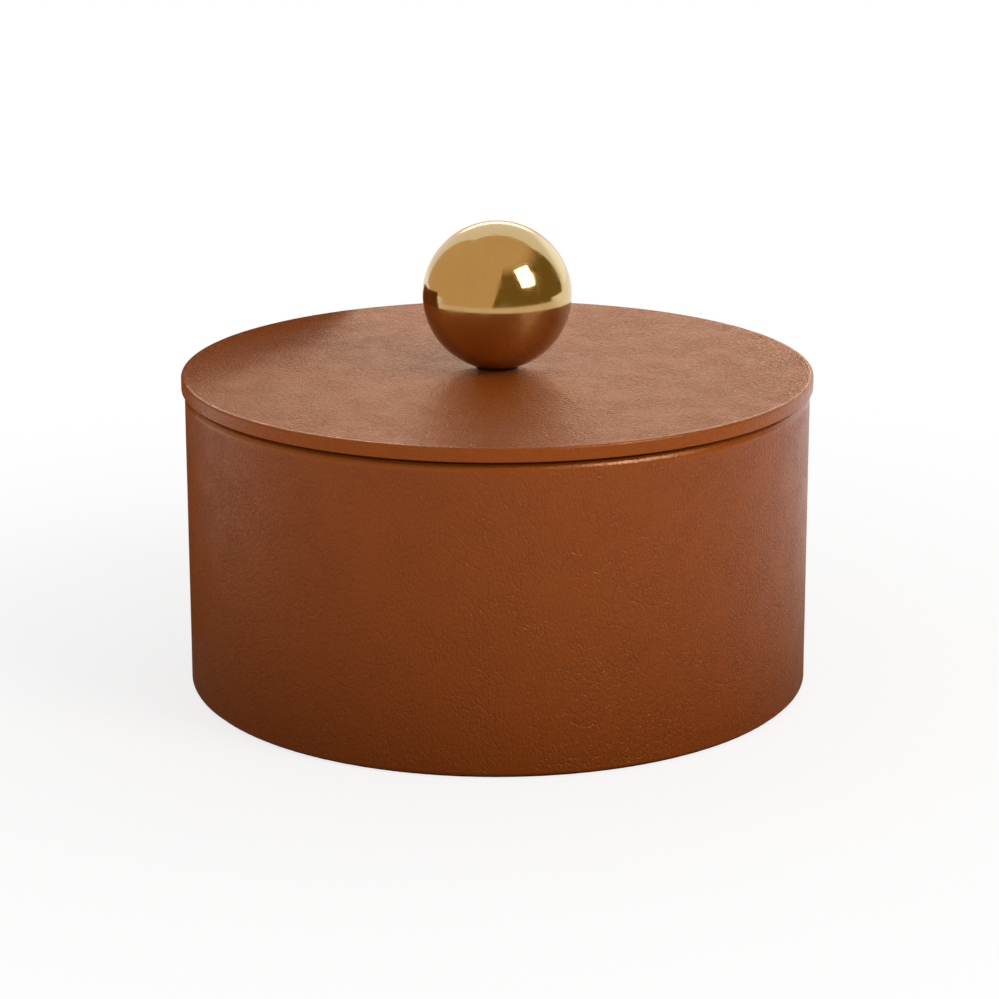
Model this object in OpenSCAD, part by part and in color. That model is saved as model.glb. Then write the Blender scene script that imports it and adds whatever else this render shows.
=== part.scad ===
// Round leather-covered collar box with a lift-off lid and a brass ball knob.
// Millimetres, +Z up. The origin is the centre of the underside, on the table.
// A bent wooden wall and a base board are covered in leather outside and in suede inside.
// The lid is a thin leather-covered disc that overhangs the wall. A suede-covered plug under it
// drops into the mouth and centres it, and one screw from below holds the ball.

/* [Box] */
// Outside diameter of the leather-covered wall
body_d = 168; // [120:1:240]
// Height of the leather-covered rim above the table
rim_h = 82; // [50:0.1:140]
// Thickness of the bent wooden wall at the rim
wall_t = 4; // [3:0.1:8]
// Thickness of the base board
base_board_t = 4; // [3:0.1:8]

/* [Lid] */
// How far the lid stands out past the wall, all round
lid_overhang = 0.9; // [0.5:0.1:3]
// Thickness of the covered lid disc at its edge
lid_t = 3.8; // [3:0.1:8]
// How deep the plug under the lid reaches into the box
plug_depth = 7; // [7:0.1:12]
// Gap between the plug and the lining, all round
plug_gap = 0.6; // [0.3:0.1:2]

/* [Knob] */
// Diameter of the brass ball
ball_d = 40; // [24:1:60]
// How much of the ball is turned away to give it a flat foot
ball_flat = 0.6; // [0.4:0.1:1.5]
// Nominal diameter of the screw that holds the ball
screw_d = 5; // [4:0.5:6]
// Length of the screw under its head
screw_length = 16; // [14:1:25]

/* [Covering] */
// Thickness of the leather on the outside of the wall
leather_t = 0.9; // [0.6:0.1:1.4]
// Thickness of the leather on top of the lid
lid_leather_t = 0.7; // [0.5:0.1:1.2]
// Thickness that the leather is pared to where it is turned in
pared_t = 0.6; // [0.4:0.1:0.9]
// Thickness of the suede lining
suede_t = 0.6; // [0.4:0.1:1]
// Thickness that the suede is pared to where it is turned under
suede_pared_t = 0.4; // [0.2:0.1:0.5]
// Thickness of the felt under the foot
felt_t = 0.5; // [0.5:0.1:2]

/* [Hidden] */
$fn = 128;

// Colours of the pieces
tan_leather = "#7d4526";
brown_suede = "#5b3a26";
grey_board = "#a39c8f";
pale_wood = "#c9a877";
dark_felt = "#2b211c";
white_foam = "#e8e4da";
brass_yellow = "#c79f52";
zinc_grey = "#b5b8ba";
black_fibre = "#26221f";

// Wall, from the outside in. The wall is rebated at the rim so that the turned-in leather lies flush.
body_r = body_d / 2;
core_r = body_r - leather_t;
rim_turn_in_t = 0.7;
rim_turn_in_h = 14;
rebated_r = core_r - wall_t;
lined_r = rebated_r - rim_turn_in_t;
lining_card_t = 0.8;
lining_card_r = lined_r - lining_card_t;
well_r = lining_card_r - suede_t;
rim_round = 2.2;
rim_inner_round = 1;
foot_round = 1.1;
core_foot_round = foot_round - leather_t;
core_rim_round = rim_round - leather_t;
core_rim_inner_round = rim_inner_round - rim_turn_in_t;
seam_w = 0.4;
seam_depth = 0.25;

// Heights, from the table up
leather_bottom = felt_t;
core_bottom = leather_bottom + pared_t;
core_top = rim_h - leather_t;
floor_z = core_bottom + base_board_t;
base_ledge = 2.5;
base_board_r = rebated_r + base_ledge - wall_t / 4;
foot_turn_in = 14;
felt_inset = 1.2;
felt_edge_round = 0.2;
lining_below_rim = 3;
lining_top = rim_h - lining_below_rim;

// Floor pad: card, foam and suede, pressed into the lining
pad_gap = 0.1;
pad_r = well_r - pad_gap;
floor_card_t = 1;
foam_t = 2;
pad_round = 1.6;
floor_turn_under = 10;
floor_card_z = floor_z + suede_pared_t;
foam_z = floor_card_z + floor_card_t;
foam_round = pad_round - suede_t;
floor_top = foam_z + foam_t + suede_t;

// Lid disc
lid_r = body_r + lid_overhang;
lid_bottom = rim_h;
lid_top = lid_bottom + lid_t;
lid_edge_t = 0.8;
lid_top_round = 0.7;
lid_bottom_round = 0.6;
lid_board_r = lid_r - lid_edge_t;
lid_board_bottom = lid_bottom + pared_t;
lid_board_top = lid_top - lid_leather_t;
lid_board_round = 0.2;
lid_turn_in = 13;
screw_clearance = 0.25;
screw_hole_r = screw_d / 2 + screw_clearance;

// Plug under the lid
plug_r = well_r - plug_gap;
plug_bottom = lid_bottom - plug_depth;
plug_core_r = plug_r - suede_t;
plug_card_t = 1;
plug_round = 1;
plug_core_round = plug_round - suede_t;
plug_card_z = plug_bottom + suede_t;
plug_board_z = plug_card_z + plug_card_t;
plug_shoulder_z = lid_bottom - suede_pared_t;
plug_turn_under = 10;
recess_r = 8;

// Knob and its screw
ball_r = ball_d / 2;
seat_t = 0.5;
seat_r = 5.5;
ball_foot_z = lid_top + seat_t;
ball_centre_z = ball_foot_z + ball_r - ball_flat;
tapped_depth = 12;
tapped_mouth = 0.5;
drill_point = 1.4;
thread_gap = 0.04;
penny_r = 7.5;
penny_t = 1.2;
penny_hole_r = screw_d / 2 + 0.15;
spring_washer_r = 4.6;
spring_washer_t = 1.2;
spring_washer_hole_r = screw_d / 2 + 0.05;
spring_washer_slit = 0.8;
head_r = 4.75;
head_t = 2.75;
head_land_r = 2.9;
head_rim_t = 0.5;
socket_af = 3;
socket_depth = 1.5;
penny_z = lid_bottom - penny_t;
spring_washer_z = penny_z - spring_washer_t;
overcut = 1;

// A rectangle from [x0, y0] to [x1, y1] whose corners are quarter circles.
// The radii run anticlockwise from the lower left corner. A radius of 0 is a sharp corner.
module soft_block(x0, x1, y0, y1, radii = [0, 0, 0, 0]) {
    corners = [[x0, y0, 1, 1], [x1, y0, -1, 1], [x1, y1, -1, -1], [x0, y1, 1, -1]];
    difference() {
        translate([x0, y0]) square([x1 - x0, y1 - y0]);
        for (i = [0:3])
            if (radii[i] > 0)
                translate([corners[i][0], corners[i][1]])
                    scale([corners[i][2], corners[i][3]])
                        difference() {
                            translate([-overcut, -overcut]) square(radii[i] + overcut);
                            translate([radii[i], radii[i]]) circle(radii[i]);
                        }
    }
}

// A flat ring or disc from inner radius to outer radius
module disc(outer, inner, z0, z1) {
    difference() {
        translate([0, 0, z0]) cylinder(r = outer, h = z1 - z0);
        if (inner > 0)
            translate([0, 0, z0 - overcut]) cylinder(r = inner, h = z1 - z0 + 2 * overcut);
    }
}

// Bent wooden wall, with a ledge at the foot for the base board
// and a shallow rebate at the rim for the turned-in leather
module wall_core() {
    color(pale_wood)
        rotate_extrude()
            difference() {
                soft_block(lined_r, core_r, core_bottom, core_top,
                    [0, core_foot_round, core_rim_round, 0]);
                translate([lined_r - overcut, core_bottom - overcut])
                    square([base_board_r - lined_r + overcut, base_board_t + overcut]);
                difference() {
                    translate([lined_r - overcut, rim_h - rim_turn_in_h])
                        square([rebated_r - lined_r + overcut + core_rim_inner_round, rim_turn_in_h]);
                    soft_block(rebated_r, core_r, rim_h - rim_turn_in_h - overcut, core_top,
                        [0, 0, 0, core_rim_inner_round]);
                }
            }
}

// Base board, let into the foot of the wall
module base_board() {
    color(pale_wood) disc(base_board_r, 0, core_bottom, floor_z);
}

// Leather cover of the box: up the wall, over the rim and down inside, and turned in under the foot.
// Its two ends meet in a fine upright seam at the back.
module body_leather() {
    color(tan_leather)
        difference() {
            rotate_extrude()
                difference() {
                    soft_block(lined_r, body_r, leather_bottom, rim_h,
                        [0, foot_round, rim_round, rim_inner_round]);
                    soft_block(rebated_r, core_r, core_bottom, core_top,
                        [0, core_foot_round, core_rim_round, core_rim_inner_round]);
                    translate([lined_r - overcut, core_bottom])
                        square([rebated_r - lined_r + 2 * overcut, rim_h - rim_turn_in_h - core_bottom]);
                }
            body_seam();
        }
    color(tan_leather)
        disc(lined_r, body_r - foot_turn_in, leather_bottom, core_bottom);
}

// V-shaped groove where the ends of the leather meet, on the far side of the box
module body_seam() {
    translate([0, 0, leather_bottom - overcut])
        linear_extrude(rim_h + 2 * overcut)
            polygon([
                [0, body_r - seam_depth],
                [seam_w, body_r + seam_depth],
                [-seam_w, body_r + seam_depth]
            ]);
}

// Card that levels the underside inside the turned-in leather
module foot_infill_card() {
    color(grey_board) disc(body_r - foot_turn_in, 0, leather_bottom, core_bottom);
}

// Felt that the box stands on
module base_felt() {
    color(dark_felt)
        rotate_extrude()
            soft_block(0, body_r - felt_inset, 0, felt_t, [0, felt_edge_round, 0, 0]);
}

// Sleeve of thin card that carries the suede round the inside of the wall
module lining_card() {
    color(grey_board) disc(lined_r, lining_card_r, floor_z, lining_top - suede_t);
}

// Suede on the sleeve, turned over its top edge
module lining_suede() {
    color(brown_suede)
        rotate_extrude()
            difference() {
                soft_block(well_r, lined_r, floor_z, lining_top, [0, 0, 0, suede_t]);
                translate([lining_card_r, floor_z - overcut])
                    square([lined_r - lining_card_r + overcut, lining_top - suede_t - floor_z + overcut]);
            }
}

// Card of the floor pad
module floor_card() {
    color(grey_board) disc(pad_r - suede_t, 0, floor_card_z, foam_z);
}

// Thin foam on the card, rounded at its edge
module floor_foam() {
    color(white_foam)
        rotate_extrude()
            soft_block(0, pad_r - suede_t, foam_z, foam_z + foam_t, [0, 0, foam_round, 0]);
}

// Suede over the foam and the card, turned under the card
module floor_suede() {
    color(brown_suede)
        rotate_extrude()
            difference() {
                soft_block(0, pad_r, floor_z, floor_top, [0, 0, pad_round, 0]);
                soft_block(-overcut, pad_r - suede_t, floor_card_z, foam_z + foam_t, [0, 0, foam_round, 0]);
                translate([-overcut, floor_z - overcut])
                    square([pad_r - floor_turn_under + overcut, suede_pared_t + 2 * overcut]);
            }
}

// Board of the lid, drilled for the knob's screw
module lid_board() {
    color(pale_wood)
        rotate_extrude()
            soft_block(screw_hole_r, lid_board_r, lid_board_bottom, lid_board_top,
                [0, 0, lid_board_round, 0]);
}

// Leather cover of the lid: over the top, round the edge and turned in underneath
module lid_leather() {
    color(tan_leather)
        rotate_extrude()
            difference() {
                soft_block(screw_hole_r, lid_r, lid_bottom, lid_top,
                    [0, lid_bottom_round, lid_top_round, 0]);
                soft_block(0, lid_board_r, lid_board_bottom, lid_board_top,
                    [0, 0, lid_board_round, 0]);
                translate([0, lid_bottom - overcut])
                    square([lid_r - lid_turn_in, pared_t + 2 * overcut]);
            }
}

// Card that levels the underside of the lid inside the turned-in leather
module lid_infill_card() {
    color(grey_board) disc(lid_r - lid_turn_in, screw_hole_r, lid_bottom, lid_board_bottom);
}

// Plug board, with a round recess for the head of the screw
// and a shallow rebate round the top for the turned-in suede
module plug_board() {
    color(pale_wood)
        difference() {
            disc(plug_core_r, recess_r, plug_board_z, lid_bottom);
            disc(plug_r + overcut, plug_r - plug_turn_under, plug_shoulder_z, lid_bottom + overcut);
        }
}

// Card that closes the recess once the knob is on
module plug_cover_card() {
    color(grey_board)
        rotate_extrude()
            soft_block(0, plug_core_r, plug_card_z, plug_board_z, [0, plug_core_round, 0, 0]);
}

// Suede over the card and round the plug, turned in between the plug and the lid
module plug_suede() {
    color(brown_suede)
        rotate_extrude()
            difference() {
                soft_block(0, plug_r, plug_bottom, lid_bottom, [0, plug_round, 0, 0]);
                soft_block(-overcut, plug_core_r, plug_card_z, plug_shoulder_z, [0, plug_core_round, 0, 0]);
                translate([-overcut, plug_shoulder_z - overcut])
                    square([plug_r - plug_turn_under + overcut, suede_pared_t + 2 * overcut]);
            }
}

// Brass ball, with a flat foot and a tapped blind hole
module knob_ball() {
    color(brass_yellow)
        difference() {
            translate([0, 0, ball_centre_z]) sphere(r = ball_r);
            translate([0, 0, ball_foot_z - ball_r]) cylinder(r = ball_r, h = ball_r);
            translate([0, 0, ball_foot_z - overcut]) cylinder(r = screw_d / 2, h = tapped_depth + overcut);
            translate([0, 0, ball_foot_z + tapped_depth])
                cylinder(r1 = screw_d / 2, r2 = 0, h = drill_point);
            translate([0, 0, ball_foot_z - overcut])
                cylinder(r1 = screw_d / 2 + tapped_mouth + overcut, r2 = screw_d / 2,
                    h = tapped_mouth + overcut);
        }
}

// Fibre washer that keeps the ball off the leather
module knob_seat_washer() {
    color(black_fibre) disc(seat_r, screw_hole_r, lid_top, ball_foot_z);
}

// Button-head screw from below, through the washers and the lid into the ball
module knob_screw() {
    color(zinc_grey) {
        translate([0, 0, spring_washer_z])
            cylinder(r = screw_d / 2 - thread_gap, h = screw_length);
        difference() {
            union() {
                translate([0, 0, spring_washer_z - head_rim_t]) cylinder(r = head_r, h = head_rim_t);
                translate([0, 0, spring_washer_z - head_t])
                    cylinder(r1 = head_land_r, r2 = head_r, h = head_t - head_rim_t);
            }
            translate([0, 0, spring_washer_z - head_t - overcut])
                cylinder(d = socket_af / cos(30), h = socket_depth + overcut, $fn = 6);
        }
    }
}

// Wide washer that spreads the pull of the screw over the board
module knob_penny_washer() {
    color(zinc_grey) disc(penny_r, penny_hole_r, penny_z, lid_bottom);
}

// Split spring washer, pressed flat
module knob_spring_washer() {
    color(zinc_grey)
        difference() {
            disc(spring_washer_r, spring_washer_hole_r, spring_washer_z, penny_z);
            translate([0, -spring_washer_slit / 2, spring_washer_z - overcut])
                cube([spring_washer_r + overcut, spring_washer_slit, spring_washer_t + 2 * overcut]);
        }
}

wall_core();
base_board();
body_leather();
foot_infill_card();
base_felt();
lining_card();
lining_suede();
floor_card();
floor_foam();
floor_suede();
lid_board();
lid_leather();
lid_infill_card();
plug_board();
plug_cover_card();
plug_suede();
knob_ball();
knob_seat_washer();
knob_screw();
knob_penny_washer();
knob_spring_washer();
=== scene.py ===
# %% [markdown]
# # A round leather collar box with a brass ball knob
#
# The real box is a bent wooden drum covered in pebbled tan leather, with a thin leather-covered lid
# that overhangs it by less than a millimetre and a polished brass ball for a knob.
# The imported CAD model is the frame: it has every piece at its real place and size.
# This script keeps the hard pieces as they are, gives each one a finish, and makes the leather,
# the suede, the felt and the mirror-polished ball again with the softness and detail that they need.

# %% Load the frame
import math

import bmesh
import bpy
from mathutils import Matrix, Vector, noise


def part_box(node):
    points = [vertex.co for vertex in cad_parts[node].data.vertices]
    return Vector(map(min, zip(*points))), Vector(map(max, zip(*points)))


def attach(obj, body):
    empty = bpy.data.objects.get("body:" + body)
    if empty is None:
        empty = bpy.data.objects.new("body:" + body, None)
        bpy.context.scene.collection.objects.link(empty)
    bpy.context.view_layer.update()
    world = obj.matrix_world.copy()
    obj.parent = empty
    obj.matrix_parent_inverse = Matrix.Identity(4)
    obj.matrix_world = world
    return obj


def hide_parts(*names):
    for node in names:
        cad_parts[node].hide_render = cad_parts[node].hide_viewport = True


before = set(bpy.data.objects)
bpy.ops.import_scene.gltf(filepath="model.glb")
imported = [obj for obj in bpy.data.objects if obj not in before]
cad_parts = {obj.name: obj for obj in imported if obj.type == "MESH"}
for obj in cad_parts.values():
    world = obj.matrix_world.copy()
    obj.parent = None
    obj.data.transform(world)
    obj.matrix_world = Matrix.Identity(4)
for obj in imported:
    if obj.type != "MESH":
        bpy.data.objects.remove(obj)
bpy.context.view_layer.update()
MM = 0.001

# %% [markdown]
# ## Sizes
#
# Nothing is measured twice. The radii and heights come from the boxes of the CAD nodes, so the pieces
# made here fit round the pieces that stay. Only roundings and the thickness of the leather are named again.

# %% Read radii and heights from the frame
def radius_of(node):
    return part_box(node)[1].x


def bottom_of(node):
    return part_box(node)[0].z


def top_of(node):
    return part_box(node)[1].z


WALL_R = radius_of("body_leather")
CORE_R = radius_of("wall_core")
RIM_Z = top_of("body_leather")
FOOT_Z = bottom_of("body_leather")
CORE_FOOT_Z = bottom_of("wall_core")
CORE_RIM_Z = top_of("wall_core")
LID_R = radius_of("lid_leather")
LID_BOARD_R = radius_of("lid_board")
LID_TOP_Z = top_of("lid_leather")
BALL_R = radius_of("knob_ball")
BALL_FOOT_Z = bottom_of("knob_ball")
BALL_Z = top_of("knob_ball") - BALL_R
print("wall radius", round(WALL_R / MM, 2), "lid radius", round(LID_R / MM, 2),
      "ball radius", round(BALL_R / MM, 2), "mm")

# %% [markdown]
# ## The camera
#
# The photograph was taken from a little above, with a long lens. Fitting the outline of the lid, the ball
# and the foot gave a camera 0.82 m in front and 0.28 m up, turned down by 14 degrees. The object sits
# below the middle of the lens, which a small vertical shift repeats.

# %% Place the camera
CAMERA_AT = (0.0, -0.81782, 0.28147)
CAMERA_DOWN = math.radians(14.0567)
CAMERA_TURN = math.radians(-0.0413)
CAMERA_ROLL = math.radians(-0.1122)
SENSOR_MM = 36.0
LENS_MM = 112.388
SHIFT_UP = -0.0996

camera_data = bpy.data.cameras.new("camera")
camera_data.sensor_width = SENSOR_MM
camera_data.lens = LENS_MM
camera_data.shift_y = SHIFT_UP
camera = bpy.data.objects.new("camera", camera_data)
camera.matrix_world = (
    Matrix.Translation(CAMERA_AT)
    @ Matrix.Rotation(CAMERA_TURN, 4, "Z")
    @ Matrix.Rotation(math.pi / 2 - CAMERA_DOWN, 4, "X")
    @ Matrix.Rotation(CAMERA_ROLL, 4, "Z")
)
bpy.context.collection.objects.link(camera)
bpy.context.scene.camera = camera
bpy.context.scene.view_settings.view_transform = "Standard"
print("camera with a lens of", round(LENS_MM), "mm")

# %% [markdown]
# ## Helpers for node trees
#
# Every finish below is a small tree of nodes. One helper feeds a node's inputs, each with a link or with a
# plain value, and one puts a node down and feeds it, so that each finish reads from top to bottom. The short
# ones after them do sums, blends and bumps. The last ones open a node group with named inputs and outputs,
# for effects that several finishes share, and start a material.

# %% Put a node, open a group, start a material
def feed(tree, node, inputs):
    for name, value in inputs.items():
        if isinstance(value, bpy.types.NodeSocket):
            tree.links.new(value, node.inputs[name])
        else:
            node.inputs[name].default_value = value


def put(tree, kind, inputs=None, **settings):
    node = tree.nodes.new("ShaderNode" + kind)
    for name, value in settings.items():
        setattr(node, name, value)
    feed(tree, node, inputs or {})
    return node


def maths(tree, operation, a, b=0.0):
    return put(tree, "Math", {0: a, 1: b}, operation=operation).outputs[0]


def plus(tree, a, b):
    return maths(tree, "ADD", a, b)


def times(tree, a, b):
    return maths(tree, "MULTIPLY", a, b)


def enlarge(tree, vector, by):
    return put(tree, "VectorMath", {0: vector, "Scale": by}, operation="SCALE").outputs[0]


def split(tree, vector):
    return put(tree, "SeparateXYZ", {"Vector": vector}).outputs


def remap(tree, value, low, high, to_low=0.0, to_high=1.0):
    spread = {"Value": value, "From Min": low, "From Max": high, "To Min": to_low, "To Max": to_high}
    return put(tree, "MapRange", spread, interpolation_type="SMOOTHSTEP").outputs["Result"]


def blend(tree, factor, a, b, kind="MIX"):
    return put(tree, "Mix", {0: factor, 6: a, 7: b}, data_type="RGBA", blend_type=kind).outputs[2]


def bump(tree, height, distance, strength):
    return put(tree, "Bump", {"Height": height, "Distance": distance, "Strength": strength}).outputs["Normal"]


def distance_from_axis(tree, parts):
    flat = put(tree, "CombineXYZ", {"X": parts["X"], "Y": parts["Y"]})
    return put(tree, "VectorMath", {0: flat.outputs[0]}, operation="LENGTH").outputs["Value"]


def open_group(name, inputs, outputs):
    group = bpy.data.node_groups.new(name, "ShaderNodeTree")
    for socket_name, kind, value in inputs:
        socket = group.interface.new_socket(socket_name, in_out="INPUT", socket_type="NodeSocket" + kind)
        if value is not None:
            socket.default_value = value
    for socket_name, kind in outputs:
        group.interface.new_socket(socket_name, in_out="OUTPUT", socket_type="NodeSocket" + kind)
    return group, group.nodes.new("NodeGroupInput").outputs, group.nodes.new("NodeGroupOutput")


def use_group(tree, group, inputs):
    return put(tree, "Group", inputs, node_tree=group).outputs


def start_material(name):
    material = bpy.data.materials.new(name)
    material.use_nodes = True
    tree = material.node_tree
    place = put(tree, "TexCoord").outputs["Object"]
    return material, tree, tree.nodes["Principled BSDF"], place


def colour(red, green, blue):
    return (red, green, blue, 1.0)


WHITE = colour(1, 1, 1)
BLACK = colour(0, 0, 0)

# %% [markdown]
# ## Leather grain
#
# Pebbled calf is a skin of small uneven cushions with fine creases between them. The creases are the borders
# of a Voronoi pattern, bent a little by noise so that they don't look like crazy paving. A finer net lies
# over the first and thin long folds cross both here and there. A slow noise decides where creases are deep
# and where they nearly vanish, a soft swell lifts some cushions above others, and fine noise gives the
# pores. The group puts out a height and a mask of the creases.

# %% Build the grain group
def build_pebble_grain():
    group, given, result = open_group(
        "pebble_grain",
        [("Vector", "Vector", None), ("Cell", "Float", 0.0015), ("Lean", "Float", 0.0),
         ("Stretch", "Float", 2.0), ("Softness", "Float", 0.3)],
        [("Height", "Float"), ("Crease", "Float")],
    )
    per_metre = maths(group, "DIVIDE", 1.0, given["Cell"])
    cells = enlarge(group, given["Vector"], per_metre)

    def plain_noise(scale, detail):
        return put(group, "TexNoise", {"Vector": cells, "Scale": scale, "Detail": detail},
                   noise_dimensions="2D")

    centred = put(group, "VectorMath", {0: plain_noise(0.42, 1.0).outputs["Color"], 1: (0.5, 0.5, 0.5)},
                  operation="SUBTRACT")
    pushed = enlarge(group, centred.outputs[0], 0.8)
    bent = put(group, "VectorMath", {0: cells, 1: pushed}, operation="ADD").outputs[0]
    turned = put(group, "VectorRotate", {"Vector": bent, "Angle": given["Lean"]}, rotation_type="Z_AXIS")
    narrowed = maths(group, "DIVIDE", 1.0, given["Stretch"])
    shape = put(group, "CombineXYZ", {"X": 1.0, "Y": narrowed, "Z": 1.0})
    drawn = put(group, "VectorMath", {0: turned.outputs[0], 1: shape.outputs[0]}, operation="MULTIPLY")

    def hollows(scale, softness):
        net = put(group, "TexVoronoi", {"Vector": drawn.outputs[0], "Scale": scale, "Randomness": 1.0},
                  voronoi_dimensions="2D", feature="DISTANCE_TO_EDGE")
        return remap(group, net.outputs["Distance"], 0.0, softness, 1.0, 0.0)

    coarse = hollows(1.0, given["Softness"])
    fine = hollows(2.2, given["Softness"])
    long_folds = hollows(0.31, 0.09)
    depth = remap(group, plain_noise(0.13, 2.0).outputs["Fac"], 0.35, 0.65, 0.6, 1.0)
    fold_depth = remap(group, plain_noise(0.09, 2.0).outputs["Fac"], 0.45, 0.6)
    swell = plain_noise(0.36, 1.0).outputs["Fac"]
    pores = plain_noise(5.0, 2.0).outputs["Fac"]

    net_hollow = times(group, plus(group, times(group, coarse, 0.62), times(group, fine, 0.45)), depth)
    fold_hollow = times(group, long_folds, fold_depth)
    low = plus(group, net_hollow, times(group, fold_hollow, 0.45))
    high = plus(group, times(group, swell, 0.13), times(group, pores, 0.22))
    feed(group, result, {"Height": maths(group, "SUBTRACT", high, low),
                         "Crease": put(group, "Clamp", {"Value": low}).outputs[0]})
    return group


PEBBLE_GRAIN = build_pebble_grain()
print("grain group with", len(PEBBLE_GRAIN.nodes), "nodes")

# %% [markdown]
# ## Mottling
#
# Nothing dyed, sawn or pressed is one colour. This group turns a base colour a little lighter and darker over
# two sizes of cloud. Each finish below takes it with its own sizes and strength.

# %% Build the mottling group
def build_mottle():
    group, given, result = open_group(
        "mottle",
        [("Vector", "Vector", None), ("Colour", "Color", None), ("Cloud Size", "Float", 0.02),
         ("Fleck Size", "Float", 0.001), ("Strength", "Float", 0.1)],
        [("Colour", "Color"), ("Cloud", "Float"), ("Fleck", "Float")],
    )

    def spots(size, detail):
        scale = maths(group, "DIVIDE", 1.0, size)
        return put(group, "TexNoise", {"Vector": given["Vector"], "Scale": scale,
                                       "Detail": detail}).outputs["Fac"]

    cloud = spots(given["Cloud Size"], 3.0)
    fleck = spots(given["Fleck Size"], 2.0)
    both = maths(group, "SUBTRACT", plus(group, cloud, fleck), 1.0)
    change = times(group, both, times(group, given["Strength"], 2.0))
    brightness = plus(group, change, 1.0)
    lit = enlarge(group, given["Colour"], brightness)
    feed(group, result, {"Colour": lit, "Cloud": cloud, "Fleck": fleck})
    return group


MOTTLE = build_mottle()


def mottle(tree, place, shade, clouds, flecks, strength):
    return use_group(tree, MOTTLE, {"Vector": place, "Colour": shade, "Cloud Size": clouds,
                                    "Fleck Size": flecks, "Strength": strength})


print("mottling group with", len(MOTTLE.nodes), "nodes")

# %% [markdown]
# ## The leather finish
#
# The leather is a warm orange brown. A painted shade makes it a little darker down in the creases, and it is
# a little lighter where the skin is stretched over an edge. There the grain is flatter and the surface
# glossier too. In the narrow groove where lid and box meet it is dull, and a painted shade makes it darkest
# there, in place of the shadow in the joint. The surface has a low satin gloss under a thin clear dressing.
# Creases are duller than the cushions, which makes the grain sparkle in the broad sheen on the lid. The
# pattern follows the hide: each leather piece carries its own map, named hide, in metres along the skin.

# %% Make the leather
HIDE_MAP = "hide"
EDGE_MARK = "stretched"
LEATHER_DYE = colour(0.330, 0.0627, 0.0030)
LEATHER_CREASE_PAINTED_SHADE = colour(0.240, 0.0410, 0.0020)
LEATHER_STRETCHED = colour(0.340, 0.0680, 0.0040)
# Painted shade: the colour the leather takes in the groove where lid and box meet, standing in for its
# shadow.
LEATHER_GROOVE_PAINTED_SHADE = colour(0.020, 0.0040, 0.0010)
LEATHER_GLOW = colour(1.0, 0.30, 0.05)
LEATHER_SHINE = colour(1.0, 0.75, 0.48)
LEATHER_ROUGHNESS = 0.27
COAT_ROUGHNESS = 0.22
GROOVE_HEIGHTS = (0.55 * MM, 0.95 * MM)
GROOVE_RADII = (WALL_R - 2.2 * MM, WALL_R - 1.2 * MM)
GROOVE_SHADE = 0.95


def make_leather(name, cell, lean, stretch, depth, shine, coat, glow):
    material, tree, shader, place = start_material(name)
    hide = put(tree, "UVMap", uv_map=HIDE_MAP).outputs["UV"]
    grain = use_group(tree, PEBBLE_GRAIN, {"Vector": hide, "Cell": cell, "Lean": lean, "Stretch": stretch,
                                           "Softness": 0.22})
    stretched = put(tree, "Attribute", attribute_name=EDGE_MARK).outputs["Fac"]
    # Painted shade: the colour goes darker down in the creases of the grain.
    dye_and_painted_shade = blend(tree, times(tree, grain["Crease"], 0.4), LEATHER_DYE, LEATHER_CREASE_PAINTED_SHADE)
    dye_and_painted_shade = blend(tree, stretched, dye_and_painted_shade, LEATHER_STRETCHED)
    parts = split(tree, place)
    above = maths(tree, "SUBTRACT", parts["Z"], RIM_Z)
    # The painted shade of the groove reaches three times further down the wall than up the lid.
    from_joint = maths(tree, "MAXIMUM", times(tree, above, 3.0), times(tree, above, -1.0))
    groove = times(tree, remap(tree, from_joint, *GROOVE_HEIGHTS, GROOVE_SHADE, 0.0),
                   remap(tree, distance_from_axis(tree, parts), *GROOVE_RADII))
    # Painted shade: in the groove where lid and box meet the colour goes nearly black, in place of the
    # joint's shadow.
    dye_and_painted_shade = blend(tree, groove, dye_and_painted_shade, LEATHER_GROOVE_PAINTED_SHADE)
    mottled = mottle(tree, place, dye_and_painted_shade, clouds=28 * MM, flecks=0.5 * MM, strength=0.07)
    dull = times(tree, grain["Crease"], 0.10)
    uneven = times(tree, mottled["Cloud"], 0.06)
    rubbed = maths(tree, "SUBTRACT", LEATHER_ROUGHNESS, times(tree, stretched, 0.12))
    matt = plus(tree, times(tree, groove, 0.7), rubbed)
    gloss = plus(tree, plus(tree, dull, uneven), matt)
    relief = times(tree, grain["Height"], remap(tree, stretched, 0.0, 1.0, 1.0, 0.3))
    dressing = times(tree, maths(tree, "SUBTRACT", 1.0, groove), coat)
    feed(tree, shader, {
        "Base Color": mottled["Colour"], "Roughness": gloss,
        "Normal": bump(tree, relief, depth, 1.0), "Coat Normal": bump(tree, relief, depth, 0.6),
        "Coat Weight": dressing, "Coat Roughness": COAT_ROUGHNESS,
        "Specular IOR Level": shine, "Specular Tint": LEATHER_SHINE,
        "Sheen Weight": glow, "Sheen Roughness": 0.3, "Sheen Tint": LEATHER_GLOW,
    })
    return material


WALL_LEATHER = make_leather("leather_on_wall", cell=1.2 * MM, lean=math.radians(-14), stretch=1.8,
                            depth=0.135 * MM, shine=0.5, coat=0.24, glow=0.15)
LID_LEATHER = make_leather("leather_on_lid", cell=1.45 * MM, lean=math.radians(70), stretch=1.4,
                           depth=0.26 * MM, shine=0.4, coat=0.15, glow=0.4)
print("made", WALL_LEATHER.name, "and", LID_LEATHER.name)

# %% [markdown]
# ## Suede and felt
#
# Suede is the brushed side of a skin: no gloss, a soft glow at a glancing angle, and clouds where the nap
# lies one way or the other. Felt is the same idea with a coarser, matted surface. One group makes the nap:
# long clouds for the brushing and short fibres for the surface.

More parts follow.
